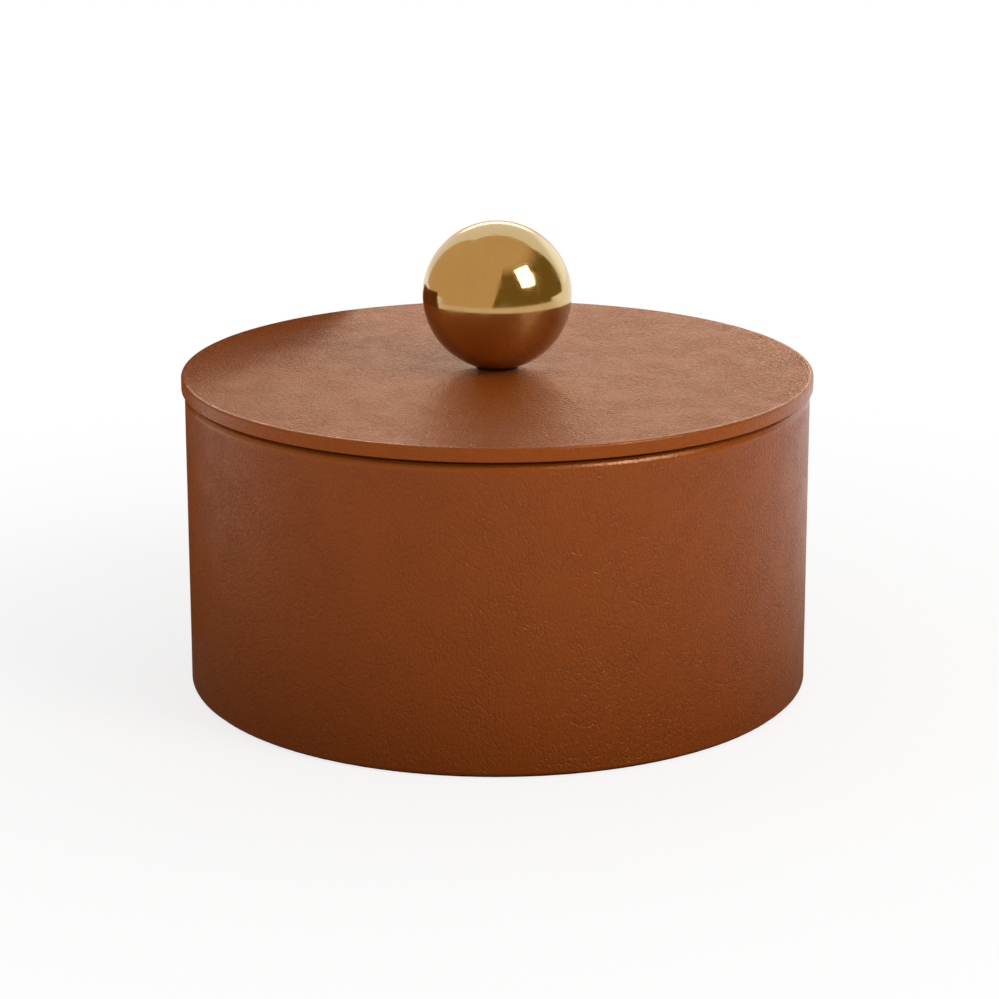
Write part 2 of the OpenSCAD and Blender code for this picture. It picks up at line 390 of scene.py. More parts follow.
# %% Make suede and felt
def build_nap():
    group, given, result = open_group(
        "nap",
        [("Vector", "Vector", None), ("Fibre", "Float", 0.0002), ("Brush Size", "Float", 0.012)],
        [("Height", "Float"), ("Brush", "Float")],
    )
    fibres_per_metre = maths(group, "DIVIDE", 1.0, given["Fibre"])
    brush_per_metre = maths(group, "DIVIDE", 1.0, given["Brush Size"])
    fibres = put(group, "TexNoise", {"Vector": given["Vector"], "Scale": fibres_per_metre, "Detail": 3.0,
                                     "Roughness": 0.7, "Distortion": 0.6})
    brush = put(group, "TexNoise", {"Vector": given["Vector"], "Scale": brush_per_metre, "Detail": 4.0,
                                    "Roughness": 0.6, "Distortion": 1.2})
    feed(group, result, {"Height": fibres.outputs["Fac"],
                         "Brush": remap(group, brush.outputs["Fac"], 0.35, 0.65)})
    return group


NAP = build_nap()


def make_napped(name, base, brushed, fibre, brush_size, depth, sheen):
    material, tree, shader, place = start_material(name)
    nap = use_group(tree, NAP, {"Vector": place, "Fibre": fibre, "Brush Size": brush_size})
    cloth = blend(tree, nap["Brush"], base, brushed)
    mottled = mottle(tree, place, cloth, clouds=3 * brush_size, flecks=2.5 * fibre, strength=0.16)
    rough = plus(tree, times(tree, mottled["Fleck"], 0.1), 0.88)
    feed(tree, shader, {
        "Base Color": mottled["Colour"], "Roughness": rough, "Specular IOR Level": 0.2,
        "Normal": bump(tree, nap["Height"], depth, 0.8),
        "Sheen Weight": sheen, "Sheen Roughness": 0.45, "Sheen Tint": brushed,
    })
    return material


SUEDE = make_napped("brown_suede", colour(0.105, 0.052, 0.026), colour(0.150, 0.078, 0.042),
                    fibre=0.22 * MM, brush_size=11 * MM, depth=0.10 * MM, sheen=0.35)
FELT = make_napped("dark_felt", colour(0.022, 0.017, 0.013), colour(0.034, 0.027, 0.021),
                   fibre=0.45 * MM, brush_size=6 * MM, depth=0.16 * MM, sheen=0.15)
print("made", SUEDE.name, "and", FELT.name)

# %% [markdown]
# ## Mirror-polished brass
#
# A good polish still leaves traces: a faint waviness from the turning, a haze where it was wiped, and very
# fine hairlines that run round the ball. The colour is clean brass, with no tarnish. The gloss is the
# shader's own, so the ball shows whatever stands round it.

# %% Make the brass
BRASS = colour(0.69, 0.505, 0.24)


def make_brass():
    material, tree, shader, place = start_material("polished_brass")
    mottled = mottle(tree, place, BRASS, clouds=9 * MM, flecks=0.8 * MM, strength=0.05)
    wiped = put(tree, "TexNoise", {"Vector": place, "Scale": 160.0, "Detail": 5.0, "Distortion": 1.5})
    haze = remap(tree, wiped.outputs["Fac"], 0.4, 0.75, 0.085, 0.19)
    flattened = put(tree, "Mapping", {"Vector": place, "Scale": (40.0, 40.0, 2600.0)}).outputs[0]
    hairlines = put(tree, "TexNoise", {"Vector": flattened, "Scale": 1.0, "Detail": 2.0}).outputs["Fac"]
    waves = put(tree, "TexNoise", {"Vector": place, "Scale": 90.0, "Detail": 1.0}).outputs["Fac"]
    height = plus(tree, times(tree, hairlines, 0.03), waves)
    feed(tree, shader, {"Base Color": mottled["Colour"], "Roughness": haze, "Metallic": 1.0,
                        "Normal": bump(tree, height, 0.012 * MM, 1.0)})
    return material


POLISHED_BRASS = make_brass()
print("made", POLISHED_BRASS.name)

# %% [markdown]
# ## Board, card and small hardware
#
# These pieces are hidden once the box is covered, but they are what holds it together, and each is finished
# as the real thing: plywood with its thin plies and dark glue lines, grey card with flecks of fibre,
# bright zinc with fine turning marks, and black fibre for the washer under the ball.

# %% Make the plywood
PLY_THICKNESS = 0.8 * MM
GLUE_LINE = 0.1


def make_plywood(name, bent):
    material, tree, shader, place = start_material(name)
    parts = split(tree, place)
    depth = distance_from_axis(tree, parts) if bent else parts["Z"]
    ply = maths(tree, "DIVIDE", depth, PLY_THICKNESS)
    glue = remap(tree, maths(tree, "FRACT", ply), 1.0 - GLUE_LINE, 1.0)
    ply_number = maths(tree, "FLOOR", ply)
    crossed = maths(tree, "MODULO", ply_number, 2.0)
    grain_scale = (60.0, 60.0, 900.0) if bent else (900.0, 60.0, 60.0)
    along = put(tree, "Mapping", {"Vector": place, "Scale": grain_scale})
    grain = put(tree, "TexNoise", {"Vector": along.outputs[0], "Scale": 1.0, "Detail": 6.0, "Roughness": 0.65,
                                   "Distortion": 0.4}).outputs["Fac"]
    wood = blend(tree, remap(tree, grain, 0.35, 0.7), colour(0.58, 0.40, 0.22), colour(0.44, 0.27, 0.13))
    wood = blend(tree, times(tree, crossed, 0.35), wood, colour(0.36, 0.21, 0.10))
    wood = blend(tree, times(tree, glue, 0.8), wood, colour(0.10, 0.05, 0.025))
    feed(tree, shader, {"Base Color": wood, "Roughness": remap(tree, grain, 0.3, 0.7, 0.55, 0.75),
                        "Normal": bump(tree, grain, 0.06 * MM, 0.6)})
    return material


BENT_PLYWOOD = make_plywood("bent_plywood", bent=True)
FLAT_PLYWOOD = make_plywood("flat_plywood", bent=False)

# %% Make card, zinc and fibre
def make_speckled(name, base, fleck_colour, fleck_size, roughness, depth):
    material, tree, shader, place = start_material(name)
    mottled = mottle(tree, place, base, clouds=16 * MM, flecks=fleck_size, strength=0.14)
    flecks = remap(tree, mottled["Fleck"], 0.62, 0.72, 0.0, 0.6)
    feed(tree, shader, {
        "Base Color": blend(tree, flecks, mottled["Colour"], fleck_colour),
        "Roughness": plus(tree, times(tree, mottled["Cloud"], 0.12), roughness),
        "Normal": bump(tree, mottled["Fleck"], depth, 0.7),
    })
    return material


GREY_CARD = make_speckled("grey_card", colour(0.30, 0.275, 0.235), colour(0.14, 0.12, 0.10),
                          fleck_size=0.7 * MM, roughness=0.80, depth=0.04 * MM)
BLACK_FIBRE = make_speckled("black_fibre", colour(0.012, 0.008, 0.006), colour(0.030, 0.021, 0.015),
                            fleck_size=0.3 * MM, roughness=0.50, depth=0.02 * MM)
ZINC = colour(0.56, 0.57, 0.58)
TURNING_MARKS_PER_METRE = 9000.0


def make_zinc():
    material, tree, shader, place = start_material("bright_zinc")
    parts = split(tree, place)
    out = times(tree, distance_from_axis(tree, parts), TURNING_MARKS_PER_METRE)
    up = times(tree, parts["Z"], TURNING_MARKS_PER_METRE)
    turned = put(tree, "CombineXYZ", {"X": out, "Y": up}).outputs[0]
    lathe = put(tree, "TexNoise", {"Vector": turned, "Scale": 1.0, "Detail": 2.0}).outputs["Fac"]
    mottled = mottle(tree, place, ZINC, clouds=3 * MM, flecks=0.3 * MM, strength=0.08)
    feed(tree, shader, {"Base Color": mottled["Colour"], "Metallic": 1.0,
                        "Roughness": remap(tree, lathe, 0.3, 0.7, 0.22, 0.40),
                        "Normal": bump(tree, lathe, 0.01 * MM, 0.8)})
    return material


BRIGHT_ZINC = make_zinc()
print("made plywood, card, fibre and", BRIGHT_ZINC.name)

# %% Give the CAD pieces that stay their finishes
FINISHES = [
    (BENT_PLYWOOD, ["wall_core"]),
    (FLAT_PLYWOOD, ["base_board", "lid_board", "plug_board"]),
    (GREY_CARD, ["foot_infill_card", "lining_card", "floor_card", "lid_infill_card", "plug_cover_card"]),
    (BLACK_FIBRE, ["knob_seat_washer"]),
    (BRIGHT_ZINC, ["knob_screw", "knob_penny_washer", "knob_spring_washer"]),
]
for finish, node_names in FINISHES:
    for node_name in node_names:
        node_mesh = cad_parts[node_name].data
        for slot_index in range(len(node_mesh.materials)):
            node_mesh.materials[slot_index] = finish
print("finished", sum(len(node_names) for _, node_names in FINISHES), "CAD pieces")

# %% [markdown]
# ## Turned profiles
#
# Every covering on this box is a body of revolution, so each starts as its cross-section: a loop of a few
# corners in the plane of X and Z. A vertex bevel rounds the corners that need it, long edges are subdivided,
# and each vertex remembers how far along the skin it lies. Spinning the loop about Z gives the piece, and
# the remembered distance later gives its map. A loop that starts and ends on the axis is left open there,
# and the spin closes it at its poles.

# %% Draw a cross-section
RUN_LAYER = "run"
ROUNDING_SEGMENTS = 8


def nearest_vert(corner, among):
    return min(among, key=lambda vert: (vert.co - Vector((corner[0], 0.0, corner[1]))).length)


def draw_section(corners):
    """Each corner is (radius, height, rounding, spacing of the edge up to the next corner)."""
    section = bmesh.new()
    section.verts.layers.float.new(RUN_LAYER)
    section.verts.layers.float.new(EDGE_MARK)
    mark = section.verts.layers.float[EDGE_MARK]
    loop = [section.verts.new((r, 0.0, z)) for r, z, _, _ in corners]
    sides = [section.edges.new(pair) for pair in zip(loop, loop[1:])]
    if corners[0][0] > 0.0:
        sides.append(section.edges.new((loop[-1], loop[0])))
    for side, corner in zip(sides, corners):
        cuts = int(side.calc_length() / corner[3]) if corner[3] else 0
        if cuts:
            bmesh.ops.subdivide_edges(section, edges=[side], cuts=cuts)
    for corner in corners:
        if corner[2]:
            clear_corner(section, corner)
            rounded = bmesh.ops.bevel(section, geom=[nearest_vert(corner, section.verts)], offset=corner[2],
                                      affect="VERTICES", segments=ROUNDING_SEGMENTS, profile=0.5, material=-1)
            for new_vert in rounded["verts"]:
                new_vert[mark] = 1.0
    return section


def clear_corner(section, corner):
    """Takes out the vertices of the subdivision that stand closer to a corner than its rounding reaches."""
    at = nearest_vert(corner, section.verts)
    close = [vert for vert in section.verts if vert is not at and (vert.co - at.co).length < 1.05 * corner[2]]
    if close:
        bmesh.ops.dissolve_verts(section, verts=close)


def measure_run(section, corners):
    """Writes the distance along the skin into each vertex, starting at the first corner."""
    run = section.verts.layers.float[RUN_LAYER]
    here = start = nearest_vert(corners[0], section.verts)
    distance = 0.0
    ahead = nearest_vert(corners[1], [edge.other_vert(here) for edge in here.link_edges])
    while ahead is not None and ahead is not start:
        distance += (ahead.co - here.co).length
        ahead[run] = distance
        linked = [edge.other_vert(ahead) for edge in ahead.link_edges]
        following = [vert for vert in linked if vert is not here]
        here, ahead = ahead, (following[0] if following else None)
    return distance


# %% Spin it into a piece
def spin_section(corners, steps):
    """Spins a quarter and mirrors it twice, which is many times quicker than one full turn."""
    piece = draw_section(corners)
    length = measure_run(piece, corners)
    bmesh.ops.spin(piece, geom=piece.verts[:] + piece.edges[:], cent=(0, 0, 0), axis=(0, 0, 1),
                   angle=math.pi / 2, steps=steps // 4)
    for axis in ("X", "Y"):
        bmesh.ops.mirror(piece, geom=piece.verts[:] + piece.edges[:] + piece.faces[:],
                         matrix=Matrix.Identity(4), merge_dist=0.001 * MM, axis=axis)
    bmesh.ops.remove_doubles(piece, verts=piece.verts, dist=0.001 * MM)
    bmesh.ops.recalc_face_normals(piece, faces=piece.faces)
    return piece, length


# %% [markdown]
# ## The hide map
#
# A map in metres along the skin lets the grain flow over a rounding and round an edge without stretching.
# On the wall it is unrolled like a label, with its cut at the seam behind. On the lid it spreads from the
# middle, so that the grain crosses the top in one piece and then turns down over the edge.

# %% Lay the hide map on a spun piece
def lay_hide(piece, length, unrolled_at=None):
    run = piece.verts.layers.float[RUN_LAYER]
    hide = piece.loops.layers.uv.new(HIDE_MAP)
    for face in piece.faces:
        turns = [math.atan2(loop.vert.co.x, -loop.vert.co.y) for loop in face.loops]
        runs = [loop.vert[run] for loop in face.loops]
        if max(runs) - min(runs) > length / 2:
            runs = [r + length if r < length / 2 else r for r in runs]
        if unrolled_at and max(turns) - min(turns) > math.pi:
            turns = [t + 2 * math.pi if t < 0 else t for t in turns]
        for loop, turn, along in zip(face.loops, turns, runs):
            if unrolled_at:
                loop[hide].uv = (turn * unrolled_at, along)
            else:
                loop[hide].uv = (along * math.sin(turn), -along * math.cos(turn))


# %% [markdown]
# ## Finishing a piece
#
# A finished piece gets smooth faces with sharp edges kept sharp, its material and the CAD body it rides on,
# and the CAD nodes that it stands for are hidden.

# %% Turn a bmesh into a piece of the box
SHARP_ANGLE = math.radians(38)


def turn_to_object(name, piece, material):
    mesh = bpy.data.meshes.new(name)
    piece.to_mesh(mesh)
    piece.free()
    mesh.materials.append(material)
    made = bpy.data.objects.new(name, mesh)
    bpy.context.collection.objects.link(made)
    return made


def finish_piece(name, piece, body, material, stands_for):
    for face in piece.faces:
        face.smooth = True
    for edge in piece.edges:
        if len(edge.link_faces) == 2 and edge.calc_face_angle() > SHARP_ANGLE:
            edge.smooth = False
    made = turn_to_object(name, piece, material)
    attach(made, body)
    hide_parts(*stands_for)
    size = [round(v / MM, 1) for v in made.dimensions]
    print(name, len(made.data.polygons), "faces,", size, "mm")
    return made


# %% [markdown]
# ## Life in the surface
#
# Leather pasted over wood isn't perfectly true. It dips and swells by a few hundredths of a millimetre at
# most over a centimetre or two, which bends the highlights on the rim and in the sheen of the lid. Only the
# outside of the skin is moved, along its own normals, so it stays clear of the wood.

# %% Let a skin dip and swell
def let_skin_wander(piece, outside_length, amount, size, seed):
    run = piece.verts.layers.float[RUN_LAYER]
    piece.normal_update()
    moves = {}
    for vert in piece.verts:
        if vert[run] <= outside_length:
            where = vert.co / size + Vector((seed, 0.0, 0.0))
            moves[vert] = vert.normal * (amount * noise.noise(where))
    for vert, move in moves.items():
        vert.co += move


# %% [markdown]
# ## The wall's leather
#
# One strip of leather goes round the drum. Its lower edge is pared and turned in under the foot, its upper
# edge goes over the rounded rim and 14 mm down inside, where the suede lining hides the end. The two ends of
# the strip meet at the back in a fine upright seam.

# %% Make the wall's leather
LEATHER_T = WALL_R - CORE_R
TURN_IN_T = 0.7 * MM
RIM_TURN_IN = 14 * MM
FOOT_TURN_IN = 14 * MM
RIM_ROUND = 2.2 * MM
RIM_INNER_ROUND = 1.0 * MM
FOOT_ROUND = 1.1 * MM
LINED_R = radius_of("lining_suede")
REBATED_R = LINED_R + TURN_IN_T
TURN_STEPS = 480

wall_corners = [
    (WALL_R - FOOT_TURN_IN, FOOT_Z, 0.0, 1.5 * MM),
    (WALL_R, FOOT_Z, FOOT_ROUND, 1.6 * MM),
    (WALL_R, RIM_Z, RIM_ROUND, 1.0 * MM),
    (LINED_R, RIM_Z, RIM_INNER_ROUND, 1.5 * MM),
    (LINED_R, RIM_Z - RIM_TURN_IN, 0.0, 0.0),
    (REBATED_R, RIM_Z - RIM_TURN_IN, 0.0, 3.0 * MM),
    (REBATED_R, CORE_RIM_Z, RIM_INNER_ROUND - TURN_IN_T, 1.0 * MM),
    (CORE_R, CORE_RIM_Z, RIM_ROUND - LEATHER_T, 5.0 * MM),
    (CORE_R, CORE_FOOT_Z, FOOT_ROUND - LEATHER_T, 2.0 * MM),
    (WALL_R - FOOT_TURN_IN, CORE_FOOT_Z, 0.0, 0.0),
]
OUTSIDE_LENGTH = FOOT_TURN_IN + (RIM_Z - FOOT_Z) + (WALL_R - LINED_R) + RIM_TURN_IN - 3.5 * MM

wall_cover, wall_run = spin_section(wall_corners, TURN_STEPS)

# %% [markdown]
# The seam is cut with planes close to the line where the ends meet, so that there are vertices to press in.
# Next to it the leather swells a very little, as skived ends do when they are pasted down edge to edge.

# %% Press the seam in at the back
SEAM_DEPTH = 0.25 * MM
SEAM_PROFILE = {0.0: -1.0, 0.25: -0.3, 0.5: 0.12, 1.2: 0.22, 2.4: 0.0}
SEAM_REACH = 6 * MM


def press_seam(piece, depth, outside_length):
    """The profile gives, by distance from the seam in millimetres, how far the skin moves out, in depths."""
    for offset in SEAM_PROFILE:
        for side in ((-1, 1) if offset else (1,)):
            near = [v for v in piece.verts if v.co.y > 0 and abs(v.co.x) < SEAM_REACH]
            faces = {f for v in near for f in v.link_faces}
            edges = {e for f in faces for e in f.edges}
            verts = {v for f in faces for v in f.verts}
            bmesh.ops.bisect_plane(piece, geom=list(verts) + list(edges) + list(faces), dist=0.001 * MM,
                                   plane_co=(side * offset * MM, 0, 0), plane_no=(1, 0, 0))
    piece.normal_update()
    run = piece.verts.layers.float[RUN_LAYER]
    moves = {}
    for vert in piece.verts:
        if vert.co.y < 0 or vert[run] > outside_length:
            continue
        for offset, amount in SEAM_PROFILE.items():
            if abs(abs(vert.co.x) - offset * MM) < 0.01 * MM:
                moves[vert] = vert.normal * (amount * depth)
    for vert, move in moves.items():
        vert.co += move
    print("seam moves", len(moves), "vertices")


let_skin_wander(wall_cover, OUTSIDE_LENGTH, 0.05 * MM, 16 * MM, seed=3.0)
press_seam(wall_cover, SEAM_DEPTH, OUTSIDE_LENGTH)
lay_hide(wall_cover, wall_run, unrolled_at=WALL_R)
finish_piece("leather_wall_cover", wall_cover, "box", WALL_LEATHER, ["body_leather"])

# %% [markdown]
# ## The lid's leather
#
# A round of leather covers the lid. It comes down over a tight edge, where it counts as stretched, and is
# gathered underneath, where the spare leather is crimped into small radial pleats before the card and the
# plug go on.

# %% Make the lid's leather
LID_BOTTOM_Z = bottom_of("lid_leather")
SCREW_HOLE_R = 2.75 * MM
LID_TOP_ROUND = 0.7 * MM
LID_BOTTOM_ROUND = 0.35 * MM
LID_TURN_IN = 13 * MM
LID_STEPS = 600
LID_BOARD_TOP_Z = top_of("lid_board")
LID_BOARD_BOTTOM_Z = bottom_of("lid_board")
lid_corners = [
    (SCREW_HOLE_R, LID_TOP_Z, 0.0, 1.6 * MM),
    (LID_R, LID_TOP_Z, LID_TOP_ROUND, 0.8 * MM),
    (LID_R, LID_BOTTOM_Z, LID_BOTTOM_ROUND, 1.0 * MM),
    (LID_R - LID_TURN_IN, LID_BOTTOM_Z, 0.0, 0.0),
    (LID_R - LID_TURN_IN, LID_BOARD_BOTTOM_Z, 0.0, 3.0 * MM),
    (LID_BOARD_R, LID_BOARD_BOTTOM_Z, 0.0, 0.0),
    (LID_BOARD_R, LID_BOARD_TOP_Z, 0.2 * MM, 6.0 * MM),
    (SCREW_HOLE_R, LID_BOARD_TOP_Z, 0.0, 0.0),
]
LID_TOP_LENGTH = LID_R - SCREW_HOLE_R
LID_SIDE_LENGTH = LID_TOP_Z - LID_BOTTOM_Z
lid_cover, lid_run = spin_section(lid_corners, LID_STEPS)
let_skin_wander(lid_cover, LID_TOP_LENGTH + LID_SIDE_LENGTH - 1.2 * MM, 0.02 * MM, 13 * MM, seed=11.0)

# %% Crimp the turned-in edge into pleats
PLEATS = 84
PLEAT_DEPTH = 0.22 * MM
PLEAT_START_R = LID_R - 1.4 * MM
TIGHT_EDGE_R = LID_R - 0.15 * MM


def crimp_underside(piece):
    for vert in piece.verts:
        from_axis = math.hypot(vert.co.x, vert.co.y)
        if abs(vert.co.z - LID_BOTTOM_Z) > 0.02 * MM or from_axis > PLEAT_START_R:
            continue
        turn = math.atan2(vert.co.x, vert.co.y)
        jitter = 1.6 * noise.noise(Vector((math.sin(turn) * 9.0, math.cos(turn) * 9.0, 4.0)))
        fold = abs(math.sin(turn * PLEATS / 2 + jitter))
        growth = min(1.0, (PLEAT_START_R - from_axis) / (5 * MM))
        vert.co.z += PLEAT_DEPTH * growth * (1.0 - fold) ** 2


lid_mark = lid_cover.verts.layers.float[EDGE_MARK]
for lid_vert in lid_cover.verts:
    if math.hypot(lid_vert.co.x, lid_vert.co.y) > TIGHT_EDGE_R:
        lid_vert[lid_mark] = 1.0
crimp_underside(lid_cover)
lay_hide(lid_cover, lid_run)
finish_piece("leather_lid_cover", lid_cover, "lid", LID_LEATHER, ["lid_leather"])

# %% [markdown]
# ## Suede inside
#
# The sleeve round the wall, the skin on the plug under the lid and the floor pad are the same brown suede.
# The pad is a disc of card with thin foam on it, so it is soft: a little crowned in the middle, full and
# round at its edge, and turned under the card.

# %% Make the lining sleeve
WELL_R = WALL_R - 7.0 * MM
FLOOR_Z = bottom_of("lining_suede")
LINING_TOP_Z = top_of("lining_suede")
CARD_TOP_Z = top_of("lining_card")
SUEDE_T = 0.6 * MM
SUEDE_STEPS = 360
sleeve_corners = [
    (WELL_R, FLOOR_Z, 0.0, 2.0 * MM),
    (WELL_R, LINING_TOP_Z, SUEDE_T, 0.5 * MM),
    (LINED_R, LINING_TOP_Z, 0.0, 0.0),
    (LINED_R, CARD_TOP_Z, 0.0, 0.5 * MM),
    (WELL_R + SUEDE_T, CARD_TOP_Z, 0.0, 6.0 * MM),
    (WELL_R + SUEDE_T, FLOOR_Z, 0.0, 0.0),
]
sleeve, _ = spin_section(sleeve_corners, SUEDE_STEPS)
let_skin_wander(sleeve, LINING_TOP_Z - FLOOR_Z, 0.06 * MM, 12 * MM, seed=21.0)
press_seam(sleeve, 0.3 * MM, LINING_TOP_Z - FLOOR_Z)
finish_piece("suede_sleeve", sleeve, "box", SUEDE, ["lining_suede"])

# %% Make the suede on the plug
PLUG_R = radius_of("plug_suede")
PLUG_BOTTOM_Z = bottom_of("plug_suede")
PLUG_CARD_Z = bottom_of("plug_cover_card")
PLUG_ROUND = 1.0 * MM
PLUG_TURN_UNDER = 10 * MM
SUEDE_PARED_T = 0.4 * MM
plug_corners = [
    (0.0, PLUG_BOTTOM_Z, 0.0, 1.6 * MM),
    (PLUG_R, PLUG_BOTTOM_Z, PLUG_ROUND, 1.0 * MM),
    (PLUG_R, LID_BOTTOM_Z, 0.0, 2.5 * MM),
    (PLUG_R - PLUG_TURN_UNDER, LID_BOTTOM_Z, 0.0, 0.0),
    (PLUG_R - PLUG_TURN_UNDER, LID_BOTTOM_Z - SUEDE_PARED_T, 0.0, 2.5 * MM),
    (PLUG_R - SUEDE_T, LID_BOTTOM_Z - SUEDE_PARED_T, 0.0, 2.0 * MM),
    (PLUG_R - SUEDE_T, PLUG_CARD_Z, PLUG_ROUND - SUEDE_T, 5.0 * MM),
    (0.0, PLUG_CARD_Z, 0.0, 0.0),
]
plug_cover, _ = spin_section(plug_corners, SUEDE_STEPS)
let_skin_wander(plug_cover, PLUG_R, 0.05 * MM, 14 * MM, seed=31.0)
finish_piece("suede_plug_cover", plug_cover, "lid", SUEDE, ["plug_suede"])

# %% Make the floor pad
PAD_R = radius_of("floor_suede")
PAD_TOP_Z = top_of("floor_suede")
PAD_CARD_R = radius_of("floor_card")
PAD_CARD_Z = bottom_of("floor_card")
PAD_FOAM_Z = bottom_of("floor_foam")
PAD_ROUND = 1.6 * MM
PAD_CROWN = 0.35 * MM
PAD_DIMPLES, PAD_DIMPLE_SIZE = 0.06 * MM, 9 * MM
pad_corners = [
    (0.0, PAD_TOP_Z, 0.0, 1.6 * MM),
    (PAD_R, PAD_TOP_Z, PAD_ROUND, 0.8 * MM),
    (PAD_R, FLOOR_Z, 0.0, 2.5 * MM),
    (PAD_R - PLUG_TURN_UNDER, FLOOR_Z, 0.0, 0.0),
    (PAD_R - PLUG_TURN_UNDER, PAD_CARD_Z, 0.0, 2.5 * MM),
    (PAD_CARD_R, PAD_CARD_Z, 0.0, 0.5 * MM),
    (PAD_CARD_R, PAD_FOAM_Z, 0.0, 5.0 * MM),
    (0.0, PAD_FOAM_Z, 0.0, 0.0),
]
pad, _ = spin_section(pad_corners, SUEDE_STEPS)
for pad_vert in pad.verts:
    if pad_vert.co.z > PAD_TOP_Z - 0.3 * MM:
        out = min(1.0, math.hypot(pad_vert.co.x, pad_vert.co.y) / PAD_R)
        dimple = noise.noise(pad_vert.co / PAD_DIMPLE_SIZE)
        pad_vert.co.z -= PAD_CROWN * out ** 4 - PAD_DIMPLES * dimple * (1 - out ** 4)
floor_pad = finish_piece("suede_floor_pad", pad, "box", SUEDE, ["floor_suede", "floor_foam"])

# %% [markdown]
# ## The felt foot
#
# The box stands on a disc of dark felt, cut a little smaller than the foot. In the photograph only its dark
# edge shows, as the line between the leather and the table. A knife doesn't cut felt dead true, so its edge
# wanders by a few hundredths of a millimetre.

# %% Make the felt foot
FELT_R = radius_of("base_felt")
FELT_T = top_of("base_felt")
CUT_WANDER, CUT_WANDER_SIZE = 0.0010, 1.5 * MM
felt, _ = spin_section([(0.0, 0.0, 0.0, 4.0 * MM), (FELT_R, 0.0, 0.15 * MM, 0.2 * MM),
                        (FELT_R, FELT_T, 0.0, 4.0 * MM), (0.0, FELT_T, 0.0, 0.0)], TURN_STEPS)
for felt_vert in felt.verts:
    if math.hypot(felt_vert.co.x, felt_vert.co.y) > FELT_R - 1 * MM:
        wander = 1.0 + CUT_WANDER * noise.noise(felt_vert.co / CUT_WANDER_SIZE)
        felt_vert.co.x *= wander
        felt_vert.co.y *= wander
finish_piece("felt_foot", felt, "box", FELT, ["base_felt"])

# %% [markdown]
# ## The ball
#
# A mirror shows every facet, so the ball is made again with a fine, even mesh. It starts as a sphere. A
# plane cuts the flat foot that stands on the washer, the cut is filled, and insets and extrusions make the
# chamfered mouth and the tapped hole for the screw.

# %% Make the ball
HOLE_R = 2.5 * MM
MOUTH = 0.5 * MM
HOLE_DEPTH = 12 * MM
DRILL_POINT = 1.4 * MM
FOOT_R = math.sqrt(BALL_R ** 2 - (BALL_Z - BALL_FOOT_Z) ** 2)


def lift(piece, face, by):
    bmesh.ops.translate(piece, verts=face.verts, vec=(0, 0, by))


ball = bmesh.new()
bmesh.ops.create_uvsphere(ball, u_segments=224, v_segments=128, radius=BALL_R)
bmesh.ops.translate(ball, verts=ball.verts, vec=(0, 0, BALL_Z))
cut = bmesh.ops.bisect_plane(ball, geom=ball.verts[:] + ball.edges[:] + ball.faces[:], dist=0.001 * MM,
                             plane_co=(0, 0, BALL_FOOT_Z), plane_no=(0, 0, 1), clear_inner=True)
rim = [e for e in cut["geom_cut"] if isinstance(e, bmesh.types.BMEdge)]
foot_face = bmesh.ops.contextual_create(ball, geom=rim)["faces"][0]
bmesh.ops.inset_individual(ball, faces=[foot_face], thickness=FOOT_R - HOLE_R - MOUTH)
bmesh.ops.inset_individual(ball, faces=[foot_face], thickness=MOUTH)
lift(ball, foot_face, MOUTH)
hole_end = bmesh.ops.extrude_discrete_faces(ball, faces=[foot_face])["faces"][0]
lift(ball, hole_end, HOLE_DEPTH - MOUTH)
bmesh.ops.inset_individual(ball, faces=[hole_end], thickness=HOLE_R * 0.98)
lift(ball, hole_end, DRILL_POINT)
bmesh.ops.recalc_face_normals(ball, faces=ball.faces)
finish_piece("brass_ball", ball, "lid", POLISHED_BRASS, ["knob_ball"])

# %% [markdown]
# ## The table
#
# The photograph has a plain white background. The table here is a pale matt floor that takes a soft shadow.
# The camera sees it lifted towards white, and beyond the box it fades into the white of the world, so that no
# horizon shows. What the box reflects of it, and the light that it throws back up, are glows of their own, a
# painted reflection and painted bounce light: dark round the foot as a painted shadow, and warm behind, as
# the reflections in the photograph suggest.

# %% Make the table
FLOOR_SIZE = 8.0
FLOOR_DROP = 0.03 * MM
TABLE_PAINT = colour(0.9, 0.9, 0.9)
FADE_START, FADE_END = 0.10, 0.34
# Painted shade: the light that the table throws back up glows dark near the foot and bright further out.
BOUNCE_NEAR = colour(0.20, 0.15, 0.11)
BOUNCE_FAR = colour(1.00, 0.96, 0.90)
BOUNCE_FROM, BOUNCE_TO = 0.10, 0.20
# Painted reflection: glossy surfaces see the table as a glow, pale in front, warm behind, with a painted
# shadow round the foot.
TABLE_IN_FRONT = colour(0.76, 0.64, 0.53)
TABLE_PAINTED_SHADOW = colour(0.10, 0.07, 0.05)
SHADED_MIDDLE = Vector((-0.06, -0.09, 0.0))
SHADED_FROM, SHADED_TO = 0.10, 0.36
TABLE_MIDDLE = Vector((0.12, -0.05, 0.0))
TABLE_REACH = 0.72
TABLE_LIFT = 0.65
TABLE_GLOW = 1.2
TABLE_BEHIND = colour(1.05, 0.71, 0.49)
BEHIND_FROM, BEHIND_TO = -0.05, 0.35
STRAIGHT_BACK, ASIDE = 0.2, 0.4
NEAREST_BACK = 0.05
TABLE_EDGE_FADE = 0.03
NO_EDGE_FROM, NO_EDGE_TO = -0.05, 0.12


def emit(tree, shade, strength=1.0):
    return put(tree, "Emission", {"Color": shade, "Strength": strength}).outputs[0]


def mix_shaders(tree, factor, a, b):
    return put(tree, "MixShader", {0: factor, 1: a, 2: b}).outputs[0]


def distance_to(tree, place, point):
    return put(tree, "VectorMath", {0: place, 1: point}, operation="DISTANCE").outputs["Value"]


